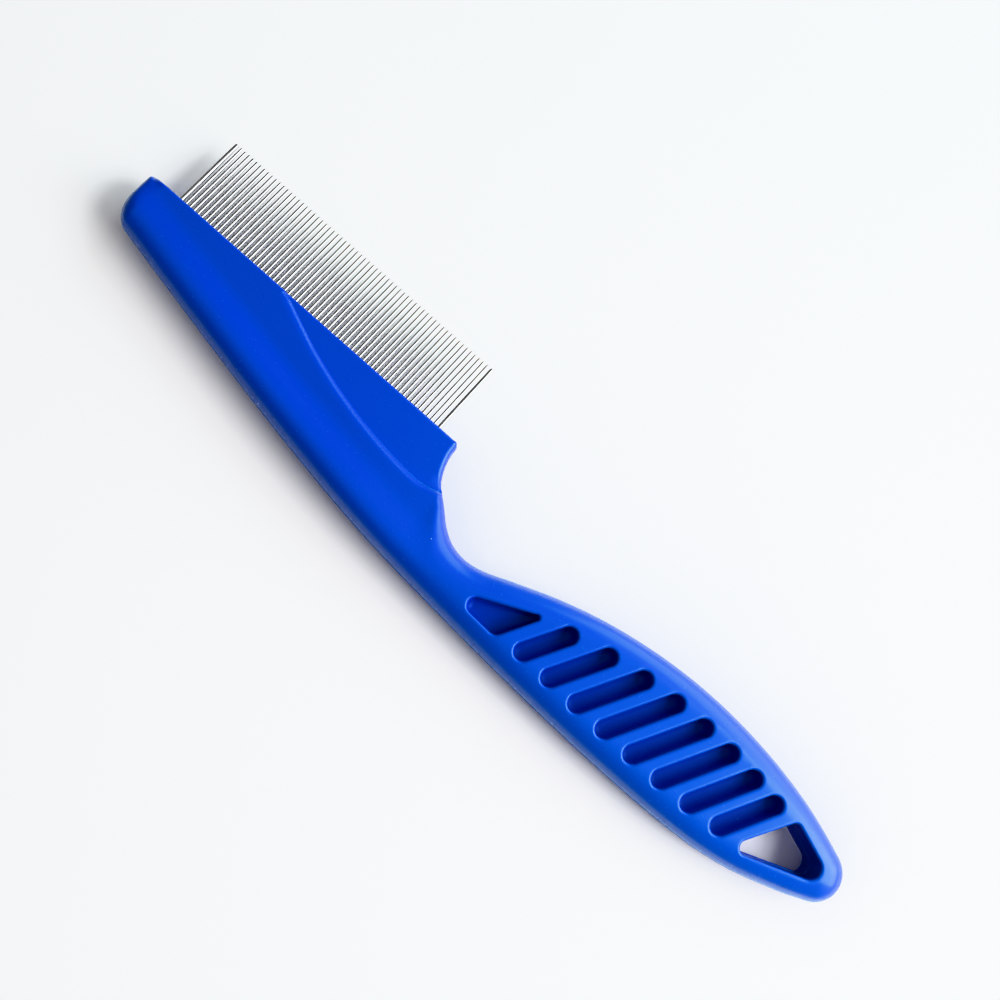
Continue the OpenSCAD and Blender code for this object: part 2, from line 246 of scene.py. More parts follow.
def arc(cx, cy, r, a0, a1, step):
    """Points of a circle from the angle a0 to a1, step degrees apart."""
    n = max(2, int(abs(a1 - a0) / step))
    a = np.radians(np.linspace(a0, a1, n + 1))
    return np.column_stack([cx + r * np.cos(a), cy + r * np.sin(a)])


def outline_lines():
    """The comb's edges as polylines, each in the anticlockwise order of the outline."""
    a = np.radians(np.linspace(0, 90, 24))
    x = np.concatenate([TIP_X + TIP_SWEEP[0] * (1 - np.cos(a)),
                        np.arange(TIP_X + TIP_SWEEP[0] + BACK_SPACING, JOIN_X, BACK_SPACING),
                        [JOIN_X]])
    # Just before JOIN_X, so that its last point is still on the back's curve
    back = np.column_stack([x, back_y(np.minimum(x, JOIN_X - 1e-9))])
    join_angle = math.degrees(math.acos(1 / 3))
    end = arc(*END_C, END_R, -join_angle, join_angle, 3)
    x = np.arange(JOIN_X, FRONT[0, 0], -FRONT_SPACING)
    front = np.column_stack([x, curve(FRONT, x)])
    y = np.linspace(FRONT[0, 1], HEEL[0, 1], 30)
    heel = np.column_stack([curve(HEEL[::-1, ::-1], y), y])
    corner = arc(HEEL_X - HEEL_R, -HEEL_R, HEEL_R, 0, 90, 10)
    tip_corner = arc(TIP_X + CORNER_R, -CORNER_R, CORNER_R, 90, 180, 12)
    # The heel's bevel runs on over the first three points of its corner
    return {"back": back, "end": end, "front": front, "heel": np.vstack([heel, corner[1:4]]),
            "root": np.array([(HEEL_X - HEEL_R, 0), (TIP_X + CORNER_R, 0)]),
            "corner": corner, "tip": np.vstack([tip_corner, [(TIP_X, back[0, 1])]])}


LINES = outline_lines()
OUTLINE = resample(np.vstack([LINES[k] for k in ("back", "end", "front")]
                             + [LINES["heel"][:-3], LINES["corner"], LINES["root"], LINES["tip"]]),
                   OUTLINE_SPACING, closed=True)
# The outline's points along the carrier bar's seat
ON_SEAT = ((OUTLINE[:, 1] > -TINY) & (OUTLINE[:, 0] > SEAT_LOW[0] - TINY)
           & (OUTLINE[:, 0] < SEAT_HIGH[0] + TINY))
RIDGE_LINE = np.column_stack([np.arange(RIDGE_X, FRONT[0, 0], RIDGE_SPACING)] * 2)
RIDGE_LINE[:, 1] = curve(RIDGE, RIDGE_LINE[:, 0])
TIP_AND_BACK = np.vstack([LINES["tip"], LINES["back"]])
STEP_AND_FRONT = np.vstack([LINES["end"], LINES["front"], RIDGE_LINE[::-1]])


def ring(circles, shrink):
    """A rounded shape from corner circles (x, y, r), with every corner moved inwards by shrink.

    A positive shrink is shared out in proportion to the radii, so that no corner turns over.
    Every shrink gives the same number of points.
    """
    c = np.array(circles, float)
    r = c[:, 2] - shrink if shrink < 0 else c[:, 2] * (1 - shrink / (c[:, 2].max() + 0.1))
    d = np.roll(c[:, :2], -1, axis=0) - c[:, :2]
    length = np.hypot(d[:, 0], d[:, 1])

    def facing(radii):
        """Which way each side faces for these radii, in degrees."""
        return np.degrees(np.arctan2(d[:, 1], d[:, 0])
                          - np.arccos((radii - np.roll(radii, -1)) / length))

    plan, now = facing(c[:, 2]), facing(r)
    points = []
    for i in range(len(c)):
        j = (i + 1) % len(c)
        steps = max(3, round(RING_PER_TURN * ((plan[i] - plan[i - 1]) % 360) / 360))
        turn = (now[i] - now[i - 1]) % 360
        a = np.radians(now[i - 1] + turn * np.arange(steps + 1) / steps)
        corner = c[i, :2] + r[i] * np.column_stack([np.cos(a), np.sin(a)])
        b = math.radians(now[i])
        start = c[j, :2] + r[j] * np.array([math.cos(b), math.sin(b)])
        count = max(2, round(length[i] / RING_SPACING))
        t = (np.arange(1, count) / count)[:, None]
        points += [corner, mix(corner[-1], start, t)]
    return np.vstack(points)


def slot_circles(i):
    """The two end circles of slanted slot i."""
    slant = math.tan(math.radians(SLOT_ANGLE))
    x0 = HEEL_X + SLOT_X + i * SLOT_PITCH
    y0 = float(back_y(np.array(x0))) + SLOT_TO_BACK
    # The far end is first taken at x0 + 6, and moved onto the front's curve in four steps
    x1 = x0 + 6
    for _ in range(4):
        x1 = x0 + (float(curve(FRONT, np.array(x1))) - SLOT_TO_FRONT - y0) / slant
    r = SLOT_W / 2
    return [(x0, y0, r), (x1, y0 + (x1 - x0) * slant, r)]


def from_heel(circles):
    """Circles whose x is measured from the heel, in the drawing frame."""
    return [(x + HEEL_X, y, r) for x, y, r in circles]


POCKETS = [from_heel(POCKET)] + [slot_circles(i) for i in range(SLOT_COUNT)]
HOLE = from_heel(HANGING_HOLE)


# ---------------------------------------------------------------- the outer surface

def cap_half(x, y):
    """Half the thickness before the outer edges are rounded."""
    crest = np.where(x < WAIST_X,
                     mix(TIP_HALF, HANDLE_HALF, ease((x - TIP_X) / (CREST_X - TIP_X))),
                     mix(HANDLE_HALF, END_HALF,
                         ease((x - END_X + THIN_FAR) / (THIN_FAR - THIN_NEAR))))
    step = BLADE_HALF + mix(STEP_MIN, STEP_MAX, ease((x - RIDGE_X) / STEP_RUN))
    step = mix(step, HANDLE_HALF, ease((x - MERGE_X) / MERGE_HEIGHT))
    rise = ease((RISE_FAR - (y - back_y(x))) / (RISE_FAR - RISE_NEAR))
    return mix(step, np.maximum(step, crest), rise)


def smooth_max(a, b, k):
    """The larger of a and b, with the change between them rounded over k."""
    h = np.maximum(k - np.abs(a - b), 0) / k
    return np.maximum(a, b) + h * h * k / 4


def surface(p):
    """Height of the outer surface above the joint at points (x, y)."""
    x, y = p[:, 0], p[:, 1]
    front_d = line_distance(p, STEP_AND_FRONT)
    back_d = line_distance(p, TIP_AND_BACK)
    cap = cap_half(x, y)
    front_r = mix(STEP_W, SIDE_ROUND, ease((x - MERGE_X) / MERGE_ROUND))
    back_r = mix(SPINE_ROUND, SIDE_ROUND, ease((x - HEEL_X) / BACK_MERGE))
    flank = mix(STEP_FLANK, FRONT_FLANK, ease((x - MERGE_X) / MERGE_FLANK))
    front_z = np.where(x < RIDGE_X, cap, mix(flank, cap, rounding(front_d, front_r)))
    back_z = cap * mix(EDGE_FLANK, 1, rounding(back_d, back_r))
    body = np.minimum(front_z, back_z)

    # The blade, which fades out where the step runs into the handle
    plate = BLADE_HALF * (1 - ease((x - FRONT[0, 0]) / BLADE_FADE))
    on_plate = (y > foot_y(x)) & (x < FRONT[0, 0])
    near_foot = (x >= RIDGE_X) & (front_d < FOOT_REACH)
    z = np.where(on_plate, plate, np.where(near_foot, smooth_max(body, plate, FOOT_FILLET), body))
    root_d = line_distance(p, LINES["root"])
    heel_d = line_distance(p, LINES["heel"])
    heel_cut = HEEL_BEVEL * (1 - ease((x - HEEL_X - HEEL_BEVEL_END) / HEEL_BEVEL_FADE))
    return (z * mix(1 - BLADE_BEVEL / BLADE_HALF, 1, rounding(root_d, BLADE_BEVEL))
            * mix(1 - heel_cut / BLADE_HALF, 1, rounding(heel_d, HEEL_BEVEL)))


# ---------------------------------------------------------------- one shell's mesh

class Surface:
    """Vertices and faces of a mesh, in drawing millimetres."""

    def __init__(self):
        self.points, self.faces = [], []
        # Numbers of the faces inside the pockets and the hole
        self.inside_faces = []

    def add(self, xy, z):
        """Adds points and returns their numbers."""
        first = len(self.points)
        z = np.broadcast_to(z, len(xy))
        self.points.extend((float(p[0]), float(p[1]), float(h)) for p, h in zip(xy, z))
        return np.arange(first, first + len(xy))

    def strip(self, lower, upper, keep=None):
        """A closed band of quads between two loops of the same length."""
        a, b = np.roll(lower, -1), np.roll(upper, -1)
        for i in range(len(lower)):
            if keep is None or keep[i]:
                self.faces.append((lower[i], a[i], b[i], upper[i]))

    def fill(self, loops, free=(), edges=()):
        """Triangles inside the first loop and outside the others, through all the points."""
        used = np.concatenate([np.asarray(loop) for loop in loops] + [np.asarray(free, int)])
        number = {int(v): i for i, v in enumerate(used)}
        flat = [Vector(self.points[v][:2]) for v in used]
        fixed = [(number[int(a)], number[int(b)])
                 for loop in loops for a, b in zip(loop, np.roll(loop, -1))]
        fixed += [(number[int(a)], number[int(b)]) for a, b in edges]
        found, _, triangles, came_from, _, _ = delaunay_2d_cdt(flat, fixed, [], 0, TINY)
        back = []
        for p, origin in zip(found, came_from):
            if not origin:
                raise ValueError(f"two fixed lines cross near {tuple(p)}")
            back.append(int(used[origin[0]]))
        corners = np.array([[self.points[back[v]][:2] for v in t] for t in triangles])
        centres = corners.mean(axis=1)
        u, v = corners[:, 1] - corners[:, 0], corners[:, 2] - corners[:, 0]
        outer, *others = [np.array([self.points[i][:2] for i in loop]) for loop in loops]
        good = inside(centres, outer)
        good &= np.abs(u[:, 0] * v[:, 1] - u[:, 1] * v[:, 0]) > TINY
        for shape in others:
            good &= ~inside(centres, shape)
        return [tuple(back[v] for v in t) for t, ok in zip(triangles, good) if ok]


# Rings of points along the outline: distances of the near ones, then (distance, spacing) of the
# others, whose points may stand nearer to another stretch of the outline by RING_SLACK
EDGE_RINGS = [0, 0.025, 0.1, 0.23, 0.42, 0.65]
WIDE_RINGS = [(0.92, 0.3), (1.22, 0.32), (1.55, 0.35), (1.92, 0.38), (2.35, 0.42), (2.85, 0.48),
              (3.4, 0.55), (4.05, 0.65)]
RING_SLACK = 0.04
# Distances of the rows of points along the step, from its foot down into the body
STEP_ROWS = [-0.25, -0.1, 0, 0.03, 0.1, 0.22, 0.4, 0.62, 0.9, 1.2, 1.55, 1.9, 2.2]
STEP_ROW_GAP = 0.12
# The grid of free points: its step, the distance of its rows in steps, and its lowest y.  Then the
# least distances to the last ring, to the step, to an opening and between two free points
GRID, GRID_ROW, GRID_LOW_Y = 0.8, 0.866, -28
GRID_GAP, STEP_GAP, OPENING_GAP, POINT_GAP = 0.5, 2.55, 0.4, 0.24

# The groove at the joint, and the most that the wall's middle loop may have of the edge's height
SEAM_INSET, SEAM_Z = 0.14, 0.16
WALL_SHARE = 0.6

# An opening's rounded rim with the row around it, a pocket's drafted wall and its floor's fillet,
# and the rows of the hanging hole's wall
RIM_R, RIM_APRON, RIM_ANGLES = 0.42, 0.25, (22, 45, 67, 90)
RIM_ROWS = 2 + len(RIM_ANGLES)
DRAFT, DRAFT_ROWS = 0.22, (0.3, 0.6, 1.0)
FLOOR_R, FLOOR_ANGLES, FLOOR_INSET = 1.25, (15, 30, 45, 60, 75), 1.5
WAIST_ROWS = (0.25, 0.5, 0.75, 1)


def rim_rows(circles):
    """Rows (points, height) from the face around an opening over its rounded rim."""
    rows = []
    for shrink in (-RIM_R - RIM_APRON, -RIM_R):
        p = ring(circles, shrink)
        rows.append((p, surface(p)))
    rim_z = rows[-1][1]
    for a in RIM_ANGLES:
        t = math.radians(a)
        p = ring(circles, -RIM_R * (1 - math.sin(t)))
        rows.append((p, rim_z - RIM_R * (1 - math.cos(t))))
    return rows


def pocket_rows(circles):
    """Rows of a blind pocket: its rim, its drafted wall, and the fillet around its floor."""
    rows = rim_rows(circles)
    wall_top = rows[-1][1]
    for share in DRAFT_ROWS:
        p = ring(circles, DRAFT * share)
        rows.append((p, mix(wall_top, FLOOR_Z + FLOOR_R, share)))
    for a in FLOOR_ANGLES:
        t = math.radians(a)
        p = ring(circles, DRAFT + FLOOR_R * (1 - math.cos(t)))
        rows.append((p, FLOOR_Z + FLOOR_R * (1 - math.sin(t))))
    return rows + [(ring(circles, FLOOR_INSET), FLOOR_Z)]


def hole_rows(circles, waist):
    """Rows of the hanging hole: its rim, its wall that narrows by waist, and the groove."""
    rows = rim_rows(circles)
    wall_top = rows[-1][1]
    for share in WAIST_ROWS:
        p = ring(circles, waist * share)
        rows.append((p, mix(wall_top, SEAM_Z, share)))
    return rows + [(ring(circles, waist - SEAM_INSET), 0.0)]


def add_side_wall(mesh, inset):
    """Adds the side wall, drawn in by inset; returns its loops from the face to the joint."""
    edge_n = inward(OUTLINE)
    wall = OUTLINE + inset * edge_n
    tops = [mesh.add(wall + d * edge_n, surface(OUTLINE + d * edge_n)) for d in EDGE_RINGS]
    edge_z = np.array([mesh.points[v][2] for v in tops[0]])
    mid = mesh.add(wall, np.minimum(SEAT_HIGH[2], WALL_SHARE * edge_z))
    low = mesh.add(wall, SEAM_Z)
    seam = mesh.add(wall + SEAM_INSET * edge_n, 0.0)
    # Where the carrier bar is seated, the wall is open under the middle loop
    in_seat = ON_SEAT & np.roll(ON_SEAT, -1)
    mesh.strip(seam, low, ~in_seat)
    mesh.strip(low, mid, ~in_seat)
    mesh.strip(mid, tops[0])
    for a, b in zip(tops, tops[1:]):
        mesh.strip(a, b)
    return tops[-1], mid, low, seam


def add_openings(mesh, hole_waist):
    """Adds the pockets and the hanging hole; returns their loops in the face and the hole's end."""
    shapes = [pocket_rows(circles) for circles in POCKETS] + [hole_rows(HOLE, hole_waist)]
    loops = []
    for rows in shapes:
        numbers = [mesh.add(p, z) for p, z in rows]
        loops.append(numbers[0])
        for k, (a, b) in enumerate(zip(numbers, numbers[1:])):
            if k == RIM_ROWS - 1:
                first_inside = len(mesh.faces)
            mesh.strip(a, b)
        if rows is not shapes[-1]:
            mesh.faces += mesh.fill([numbers[-1]])
        mesh.inside_faces += range(first_inside, len(mesh.faces))
    return loops, numbers[-1]


def thin(points, gap):
    """Drops points that stand closer than gap to an earlier one."""
    taken, out = {}, []
    for x, y in points:
        i, j = int(x // gap), int(y // gap)
        near = [q for a in (i - 1, i, i + 1) for b in (j - 1, j, j + 1)
                for q in taken.get((a, b), ())]
        if all((x - u) ** 2 + (y - v) ** 2 >= gap * gap for u, v in near):
            taken.setdefault((i, j), []).append((x, y))
            out.append((x, y))
    return np.array(out)


def face_points(openings):
    """Free points of the face: rings along its edge and a grid, clear of step and openings."""
    kept = np.zeros((0, 2))
    for d, spacing in WIDE_RINGS:
        p = resample(OUTLINE, spacing, closed=True)
        p = p + d * inward(p)
        p = p[inside(p, OUTLINE)]
        p = p[line_distance(p, OUTLINE, closed=True) > d - RING_SLACK]
        kept = np.vstack([kept, p])
    gx, gy = np.meshgrid(np.arange(TIP_X, END_X, GRID), np.arange(GRID_LOW_Y, 0, GRID * GRID_ROW))
    gx[1::2] += GRID / 2
    p = np.column_stack([gx.ravel(), gy.ravel()])
    p = p[inside(p, OUTLINE)]
    p = p[line_distance(p, OUTLINE, closed=True) > WIDE_RINGS[-1][0] + GRID_GAP]
    kept = np.vstack([kept, p])
    kept = kept[line_distance(kept, RIDGE_LINE) > STEP_GAP]
    for opening in openings:
        kept = kept[~inside(kept, opening)]
        kept = kept[line_distance(kept, opening, closed=True) > OPENING_GAP]
    return thin(kept, POINT_GAP)


def add_step_rows(mesh):
    """Adds rows of points along the step; returns them and the edges that join each row."""
    points, edges = [], []
    t = np.gradient(RIDGE_LINE, axis=0)
    down = np.column_stack([t[:, 1], -t[:, 0]]) / np.linalg.norm(t, axis=1)[:, None]
    for d in STEP_ROWS:
        p = RIDGE_LINE + d * down
        ok = inside(p, OUTLINE)
        ok &= line_distance(p, OUTLINE, closed=True) > EDGE_RINGS[-1] + STEP_ROW_GAP
        # The foot's own row is measured a hair below the foot, where the body begins
        hair = TINY if d == 0 else 0.0
        numbers = mesh.add(p[ok], surface(p[ok] - hair))
        points += list(numbers)
        index = np.flatnonzero(ok)
        edges += [(numbers[i], numbers[i + 1]) for i in range(len(index) - 1)
                  if index[i + 1] == index[i] + 1]
    return points, edges


def add_joint_face(mesh, mid, low, seam, hole_end):
    """Adds the face at the joint, with the seat of the carrier bar cut into it."""
    start, stop = np.flatnonzero(ON_SEAT)[[0, -1]]
    seat_z = SEAT_HIGH[2]
    far = [mesh.add(np.array([[OUTLINE[i, 0], SEAT_LOW[1]]]), z)[0] for i, z in
           ((start, 0.0), (stop, 0.0), (stop, seat_z), (start, seat_z))]
    loop = [v for i, v in enumerate(seam) if not start < i < stop]
    at = loop.index(seam[start])
    loop = loop[:at + 1] + [far[0], far[1]] + loop[at + 1:]
    mesh.faces += [f[::-1] for f in mesh.fill([loop, hole_end])]
    mesh.faces += [f[::-1] for f in mesh.fill([list(mid[start:stop + 1]) + [far[2], far[3]]])]
    for i, a, b in ((start, far[0], far[3]), (stop, far[1], far[2])):
        mesh.faces.append((seam[i], low[i], mid[i], b, a))
    mesh.faces.append((far[0], far[1], far[2], far[3]))


def build_shell(inset, hole_waist):
    """One shell: inset draws its side wall in, and hole_waist narrows its hole at the joint."""
    mesh = Surface()
    rim, mid, low, seam = add_side_wall(mesh, inset)
    loops, hole_end = add_openings(mesh, hole_waist)
    points = face_points([np.array([mesh.points[v][:2] for v in loop]) for loop in loops])
    free = list(mesh.add(points, surface(points)))
    step_points, step_edges = add_step_rows(mesh)
    mesh.faces += mesh.fill([rim] + loops, free + step_points, step_edges)
    add_joint_face(mesh, mid, low, seam, hole_end)
    return mesh


# Edges that turn by more than this many degrees are shaded as sharp
SHARP_ANGLE = 32


def to_object(name, mesh, materials, flip=False):
    """A Blender object from drawing millimetres; flip turns it into its mirror image in Z.

    The second material, if there is one, is for the faces inside the pockets and the hole; its
    darker colour is painted shade.
    """
    co = np.array(mesh.points)
    if flip:
        co[:, 2] *= -1
    co = (co + ORIGIN) * MM
    data = bpy.data.meshes.new(name)
    data.from_pydata(co.tolist(), [], [tuple(int(v) for v in f) for f in mesh.faces])
    for material in materials:
        data.materials.append(material)
    for i in mesh.inside_faces:
        data.polygons[i].material_index = 1
    b = bmesh.new()
    b.from_mesh(data)
    bmesh.ops.delete(b, geom=[v for v in b.verts if not v.link_faces], context="VERTS")
    bmesh.ops.recalc_face_normals(b, faces=b.faces)
    b.to_mesh(data)
    b.free()
    data.shade_smooth()
    data.set_sharp_from_angle(angle=math.radians(SHARP_ANGLE))
    obj = bpy.data.objects.new(name, data)
    bpy.context.scene.collection.objects.link(obj)
    return obj


# ---------------------------------------------------------------- pins

WIRE_SIDES = 20
HELD_ROWS = 9
# A gap in x wider than this parts the two wires of a node
WIRE_GAP = 0.3
# Lengths and widths of a wire's rounded point, in radii of the wire
NOSE_LEN, NOSE_NARROW, NOSE_FLAT = 0.9, 0.2, 0.12
NOSE_ANGLES = (15, 30, 45, 60, 74, 85)


def turned(profile):
    """A body of revolution along Y from (y, radius) pairs."""
    mesh = Surface()
    a = np.arange(WIRE_SIDES) * 2 * math.pi / WIRE_SIDES
    rows = []
    for y, r in profile:
        first = len(mesh.points)
        mesh.points.extend((r * math.cos(t), y, r * math.sin(t)) for t in a)
        rows.append(np.arange(first, first + WIRE_SIDES))
    for lower, upper in zip(rows, rows[1:]):
        mesh.strip(lower, upper)
    mesh.faces.append(tuple(rows[0][::-1]))
    mesh.faces.append(tuple(rows[-1]))
    return mesh


def pin_profile(low, high, r):
    """Profile (y, radius) of one pin from its held end to its rounded point."""
    nose = NOSE_LEN * r
    rows = [(y, r) for y in np.linspace(low, high - nose, HELD_ROWS)]
    for t in NOSE_ANGLES:
        a = math.radians(t)
        rows.append((high - nose * (1 - math.sin(a)),
                     r * (NOSE_NARROW + (1 - NOSE_NARROW) * math.cos(a))))
    return rows + [(high, r * NOSE_FLAT)]


def wires(node):
    """(lowest corner, highest corner) of each wire of a pin node, in drawing millimetres."""
    x = np.sort([v.co.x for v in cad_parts[node].data.vertices]) / MM
    low, high = box_mm(node)
    gap = np.argmax(np.diff(x))
    ends = [(low[0], high[0])]
    if x[gap + 1] - x[gap] > WIRE_GAP:
        ends = [(low[0], x[gap]), (x[gap + 1], high[0])]
    return [(np.array([a, low[1], low[2]]) - ORIGIN, np.array([b, high[1], high[2]]) - ORIGIN)
            for a, b in ends]


def build_wires(node):
    """The turned wires of one pin node."""
    mesh = Surface()
    for low, high in wires(node):
        wire = turned(pin_profile(low[1], high[1], (high[0] - low[0]) / 2))
        first = len(mesh.points)
        centre = (low + high) / 2
        mesh.points += [(x + centre[0], y, z) for x, y, z in wire.points]
        mesh.faces += [tuple(v + first for v in f) for f in wire.faces]
    return mesh


# ---------------------------------------------------------------- materials

class Nodes:
    """A node material with a short way to add and join nodes."""

    def __init__(self, name):
        self.material = bpy.data.materials.new(name)
        self.material.use_nodes = True
        self.tree = self.material.node_tree
        self.shader = self.tree.nodes["Principled BSDF"]
        self.place = self.add("ShaderNodeTexCoord").outputs["Object"]

    def add(self, kind, props=None, **inputs):
        """A new node; inputs are values or sockets, with _ for a space in their names."""
        node = self.tree.nodes.new(kind)
        for key, value in (props or {}).items():
            setattr(node, key, value)
        for key, value in inputs.items():
            self.set(node.inputs[key.replace("_", " ")], value)
        return node

    def set(self, socket, value):
        """Links a socket to an input, or sets its own number or colour."""
        if isinstance(value, bpy.types.NodeSocket):
            self.tree.links.new(value, socket)
        elif socket.type == "RGBA" and len(value) == 3:
            socket.default_value = (*value, 1)
        else:
            socket.default_value = value

    def noise(self, size_mm, detail, stretch=(1, 1, 1), roughness=0.5):
        """Noise whose features are about size_mm across, longer along the stretched axes."""
        place = self.add("ShaderNodeMapping", Vector=self.place,
                         Scale=tuple(1 / (size_mm * MM * k) for k in stretch)).outputs["Vector"]
        return self.add("ShaderNodeTexNoise", Vector=place, Scale=1.0, Detail=detail,
                        Roughness=roughness).outputs["Fac"]

    def ramp(self, value, low, high, to_low=0.0, to_high=1.0):
        """A value's range from low to high, mapped to another range and held at its ends."""
        node = self.add("ShaderNodeMapRange", {"clamp": True}, Value=value, From_Min=low,
                        From_Max=high, To_Min=to_low, To_Max=to_high)
        return node.outputs["Result"]

    def math(self, kind, a, b):
        """Two values added, multiplied and so on."""
        node = self.tree.nodes.new("ShaderNodeMath")
        node.operation = kind
        self.set(node.inputs[0], a)
        self.set(node.inputs[1], b)
        return node.outputs[0]

    def mix_color(self, fac, a, b):
        """The colour a, or b where fac is 1."""
        node = self.tree.nodes.new("ShaderNodeMix")
        node.data_type = "RGBA"
        self.set(node.inputs["Factor"], fac)
        self.set(node.inputs[6], a)
        self.set(node.inputs[7], b)
        return node.outputs[2]

    def bump(self, height, depth_mm, below=None):
        """A normal bent by a height, on top of the normal below."""
        node = self.add("ShaderNodeBump", Height=height, Strength=1.0, Distance=depth_mm * MM)
        if below is not None:
            self.set(node.inputs["Normal"], below)
        return node.outputs["Normal"]


# Share of the rubbed colour at edges and scuffs, size of the dust's cells and share without dust
WEAR = 0.05
DUST_CELL = 5.5
DUSTLESS = 0.86


def moulded_plastic(name, color, painted_light_color, rough, tint, sheen):
    """Satin moulded plastic: faint flow marks, a fine grain, scuffs, dust and rubbed edges.

    Towards the end of the handle the colour is painted lighter, to its second colour: painted light
    where the lamp falls more strongly.  The gloss takes the tint where the surface is seen square
    on, and a sheen lightens it where it is seen at a flat angle.
    """
    m = Nodes(name)
    flow = m.noise(14, 3, (3, 1, 1))
    grain = m.noise(0.16, 2)
    peel = m.noise(1.1, 2)
    scuffs = m.ramp(m.noise(0.35, 3, (9, 1, 1), 0.6), 0.62, 0.74)
    edge = m.ramp(m.add("ShaderNodeNewGeometry").outputs["Pointiness"], 0.53, 0.62)
    along = m.add("ShaderNodeSeparateXYZ", Vector=m.place).outputs["X"]
    # Painted light: the colour turns lighter along X towards the end of the handle, where the lamp
    # falls more strongly
    base = m.mix_color(m.ramp(along, -0.03, 0.07), color, painted_light_color)
    base = m.mix_color(m.ramp(flow, 0.3, 0.7, 0, 0.12), base, (0.0001, 0.02, 0.2))
    worn = m.math("MULTIPLY", m.math("MAXIMUM", edge, scuffs), WEAR)
    base = m.mix_color(worn, base, (0.1, 0.25, 0.7))
    # Dust: a dot at the middle of a few of the cells
    cells = m.add("ShaderNodeTexVoronoi", Vector=m.place, Scale=1 / (DUST_CELL * MM))
    dot = m.ramp(cells.outputs["Distance"], 0.012, 0.026, 1, 0)
    draw = m.add("ShaderNodeSeparateColor", Color=cells.outputs["Color"]).outputs["Red"]
    some = m.ramp(draw, DUSTLESS, DUSTLESS + 0.01)
    dust = m.math("MULTIPLY", dot, some)
    m.set(m.shader.inputs["Base Color"], m.mix_color(dust, base, (0.35, 0.6, 0.95)))
    satin = m.ramp(peel, 0.3, 0.7, rough - 0.015, rough + 0.015)
    m.set(m.shader.inputs["Roughness"], m.math("ADD", satin, m.math("MULTIPLY", dust, 0.3)))
    m.shader.inputs["IOR"].default_value = 1.47
    m.shader.inputs["Specular Tint"].default_value = (*tint, 1)
    m.shader.inputs["Sheen Weight"].default_value = sheen
    m.shader.inputs["Sheen Roughness"].default_value = 0.3
    m.shader.inputs["Sheen Tint"].default_value = (0.05, 0.65, 1.0, 1)
    m.set(m.shader.inputs["Normal"], m.bump(grain, 0.0012, m.bump(peel, 0.002)))
    return m.material


def drawn_steel():
    """Drawn wire: streaks along it, and patches that are a little darker."""
    m = Nodes("drawn_steel")
    streaks = m.noise(0.3, 1, (1, 80, 1))
    patches = m.ramp(m.noise(2.5, 2), 0.3, 0.7)
    m.set(m.shader.inputs["Base Color"],
          m.mix_color(patches, (0.3, 0.305, 0.31), (0.38, 0.385, 0.39)))
    m.shader.inputs["Metallic"].default_value = 1
    m.set(m.shader.inputs["Roughness"], m.ramp(streaks, 0.3, 0.7, 0.1, 0.18))
    m.set(m.shader.inputs["Normal"], m.bump(streaks, 0.0012))
    return m.material


def paper():
    """The pale, almost matt floor."""
    m = Nodes("floor_paper")
    m.set(m.shader.inputs["Base Color"],
          m.mix_color(m.noise(60, 3), (0.93, 0.935, 0.94), (0.955, 0.955, 0.955)))
    m.shader.inputs["Roughness"].default_value = 0.85
    m.shader.inputs["Specular IOR Level"].default_value = 0.2
    return m.material


GLOSS_TINT = (0.3, 0.8, 1.0)
# Painted shade: the inside of the pockets and the hanging hole takes a darker, rougher copy of the
# plastic, for the shade in these recesses
PAINTED_SHADE_BLUE = (0.0001, 0.013, 0.26)
# Painted light: each plastic's second colour is a lighter blue that it takes towards the end of the
# handle, nearer the lamp
SHELL_PLASTIC = moulded_plastic("shell_plastic", (0.0002, 0.025, 0.36), (0.0006, 0.05, 0.41),
                                0.26, GLOSS_TINT, 0.3)
POCKET_PAINTED_SHADE = moulded_plastic("pocket_painted_shade", PAINTED_SHADE_BLUE, PAINTED_SHADE_BLUE, 0.5, (0.2, 0.4, 1.0), 0.0)
BAR_PLASTIC = moulded_plastic("bar_plastic", (0.0002, 0.036, 0.39), (0.0004, 0.052, 0.4),
                              0.3, GLOSS_TINT, 0.2)
STEEL = drawn_steel()

# ---------------------------------------------------------------- the pieces

# The front shell's side wall stands in by 0.09, and its hole is wider at the joint than the back's
for name, flip, inset, hole_waist in (("front_shell", False, 0.09, 0.25),
                                      ("back_shell", True, 0.0, 0.5)):
    piece = to_object(name + "_moulding", build_shell(inset, hole_waist),
                      [SHELL_PLASTIC, POCKET_PAINTED_SHADE], flip)
    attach(piece, "root")
    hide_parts(name)

for node in sorted(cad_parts):
    if not node.startswith(("pin_pair", "end_pin")):
        continue
    piece = to_object(node.replace("pin", "wire"), build_wires(node), [STEEL])
    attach(piece, "root")
    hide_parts(node)

# The carrier bar stays the CAD's own node
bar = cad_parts["pin_bar"]
bar.data.materials.clear()
bar.data.materials.append(BAR_PLASTIC)

# ---------------------------------------------------------------- camera, floor and light

def to_row(p):
    """A point of the drawing frame in the row frame, in metres."""
    return Vector([float(v) for v in (np.array(p) + ORIGIN) * MM])


# Place and aim in drawing millimetres, roll in degrees, focal length and sensor in millimetres
CAMERA_AT = (82.522, -38.117, 192.764)
CAMERA_AIM = (78.807, -2.437, 0)
CAMERA_ROLL = 35.6048
LENS, SENSOR_WIDTH = 39.6, 36
# Half the floor's side, in metres
FLOOR_HALF = 1.5
camera_data = bpy.data.cameras.new("camera")
camera_data.lens = LENS
camera_data.sensor_width = SENSOR_WIDTH
camera_data.clip_start = 0.01
camera = bpy.data.objects.new("camera", camera_data)
bpy.context.scene.collection.objects.link(camera)
camera.location = to_row(CAMERA_AT)
look = (to_row(CAMERA_AIM) - to_row(CAMERA_AT)).to_track_quat("-Z", "Y").to_matrix()
camera.rotation_euler = (look @ Matrix.Rotation(math.radians(CAMERA_ROLL), 3, "Z")).to_euler()
bpy.context.scene.camera = camera

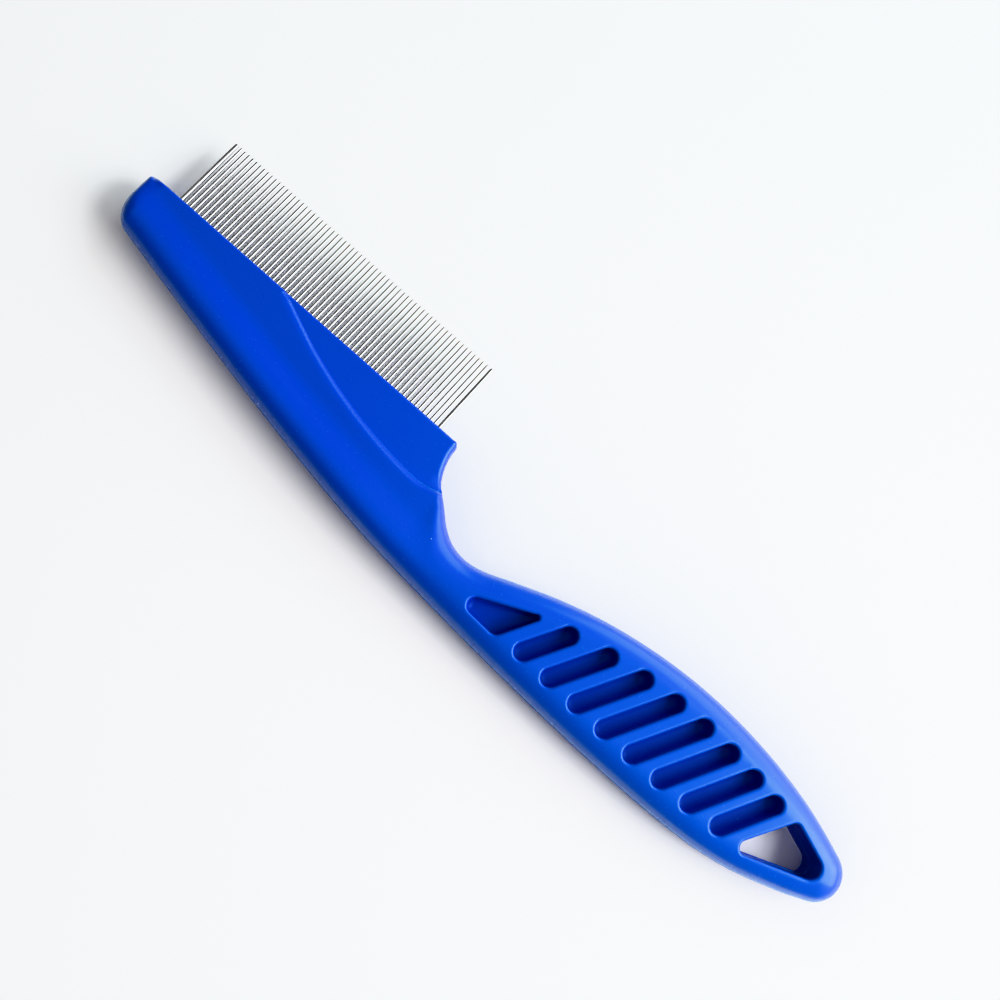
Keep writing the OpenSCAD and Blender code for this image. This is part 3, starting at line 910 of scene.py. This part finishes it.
floor_data = bpy.data.meshes.new("floor")
floor_data.from_pydata([(x * FLOOR_HALF, y * FLOOR_HALF, 0) for x, y in
                        ((-1, -1), (1, -1), (1, 1), (-1, 1))], [], [(0, 1, 2, 3)])
floor = bpy.data.objects.new("floor", floor_data)
bpy.context.scene.collection.objects.link(floor)
floor_data.materials.append(paper())


def area_light(name, at, aim, size, power, color):
    """A soft light at a place in the row frame that shines towards another."""
    data = bpy.data.lights.new(name, "AREA")
    data.shape = "RECTANGLE"
    data.size, data.size_y = size
    data.energy = power
    data.color = color
    light = bpy.data.objects.new(name, data)
    bpy.context.scene.collection.objects.link(light)
    light.location = at
    light.rotation_euler = (Vector(at) - Vector(aim)).to_track_quat("Z", "Y").to_euler()


area_light("key", (0.285, 0.1, 0.215), (0.04, 0, 0), (0.28, 0.28), 3.2, (0.99, 0.995, 1.0))
area_light("fill_front", (0.24, 0.45, 0.22), (0, 0, 0), (0.7, 0.35), 4.6, (0.86, 0.96, 1.0))
area_light("fill_back", (-0.15, -0.5, 0.35), (0, 0, 0), (0.8, 0.4), 0.1, (1.0, 0.94, 0.87))

# The room, as grey levels from the horizon (0) to the zenith (1): pale, with a darker band
SKY = ((0.0, 0.65), (0.1, 0.65), (0.4, 0.03), (0.72, 0.03), (0.88, 0.7))
world = bpy.data.worlds.new("studio")
bpy.context.scene.world = world
world.use_nodes = True
sky = world.node_tree
toward = sky.nodes.new("ShaderNodeSeparateXYZ")
sky.links.new(sky.nodes.new("ShaderNodeTexCoord").outputs["Generated"], toward.inputs["Vector"])
level = sky.nodes.new("ShaderNodeValToRGB")
stops = level.color_ramp.elements
for place, grey in SKY:
    stop = stops[0] if place == 0 else stops.new(place)
    stop.position = place
    stop.color = (grey, 0.97 * grey, 0.94 * grey, 1)
# The ramp's own second stop is still the last one
stops.remove(stops[-1])
sky.links.new(toward.outputs["Z"], level.inputs["Fac"])
sky.links.new(level.outputs["Color"], sky.nodes["Background"].inputs["Color"])
bpy.context.scene.view_settings.view_transform = "Khronos PBR Neutral"

bpy.context.view_layer.update()
